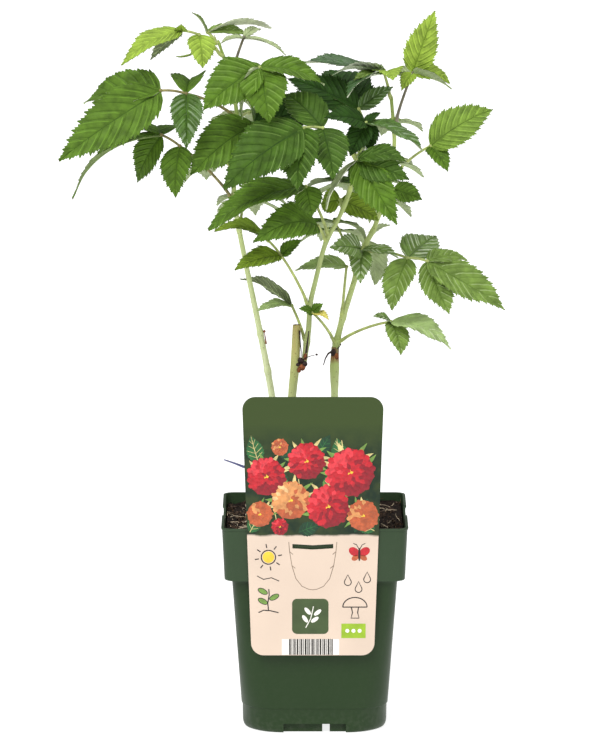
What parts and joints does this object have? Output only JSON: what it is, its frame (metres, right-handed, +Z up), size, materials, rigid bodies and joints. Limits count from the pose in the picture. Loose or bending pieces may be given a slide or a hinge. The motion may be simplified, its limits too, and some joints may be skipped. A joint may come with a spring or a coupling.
{
  "type": "potted raspberry plant",
  "caption": "Young raspberry plant with toothed compound leaves on slender canes, in a square nursery pot with a hanging label card.",
  "frame": {"origin": "middle of the pot's flat underside, on its central foot", "axes": "+Z up along the plant; -Y is the side that the label hangs on, +X to its right as seen from the front"},
  "size_m": [0.3091, 0.1985, 0.5067],
  "materials": {
    "pot_plastic": "satin",
    "soil": "matte",
    "label_card": "satin",
    "cane_bark": "matte",
    "leaf": "satin"
  },
  "bodies": {
    "root": {"pot": "pot_plastic", "soil": "soil", "label": "label_card", "cane_left": "cane_bark", "cane_middle": "cane_bark", "cane_right": "cane_bark", "shoot_right": "cane_bark", "shoot_middle": "cane_bark", "leaf_left_large": "leaf", "leaf_left_lower": "leaf", "leaf_left_inner": "leaf", "leaf_crown_left": "leaf", "shoot_tip_left": "leaf", "leaf_crown_left_back": "leaf", "leaf_front_pale": "leaf", "leaf_front_centre": "leaf", "leaf_centre_back_high": "leaf", "leaf_centre_high": "leaf", "leaf_front_lobed": "leaf", "leaf_right_raised": "leaf", "leaf_crown_right": "leaf", "leaf_crown_arched": "leaf", "leaf_right_long": "leaf", "leaf_right_low": "leaf", "leaf_centre_low": "leaf", "leaf_centre_drooping": "leaf", "leaf_left_low": "leaf", "leaf_left_underside": "leaf", "leaf_low_small": "leaf", "leaf_low_pale": "leaf", "leaf_centre_glossy": "leaf", "leaf_right_back": "leaf", "leaf_centre_olive": "leaf", "leaf_right_inner": "leaf", "leaf_rear_left_high": "leaf", "leaf_rear_left": "leaf", "leaf_rear_left_low": "leaf", "leaf_rear_middle_high": "leaf", "leaf_rear_middle": "leaf", "leaf_rear_right_high": "leaf", "leaf_rear_right": "leaf", "leaf_rear_right_low": "leaf", "leaf_rear_low": "leaf"}
  },
  "joints": []
}
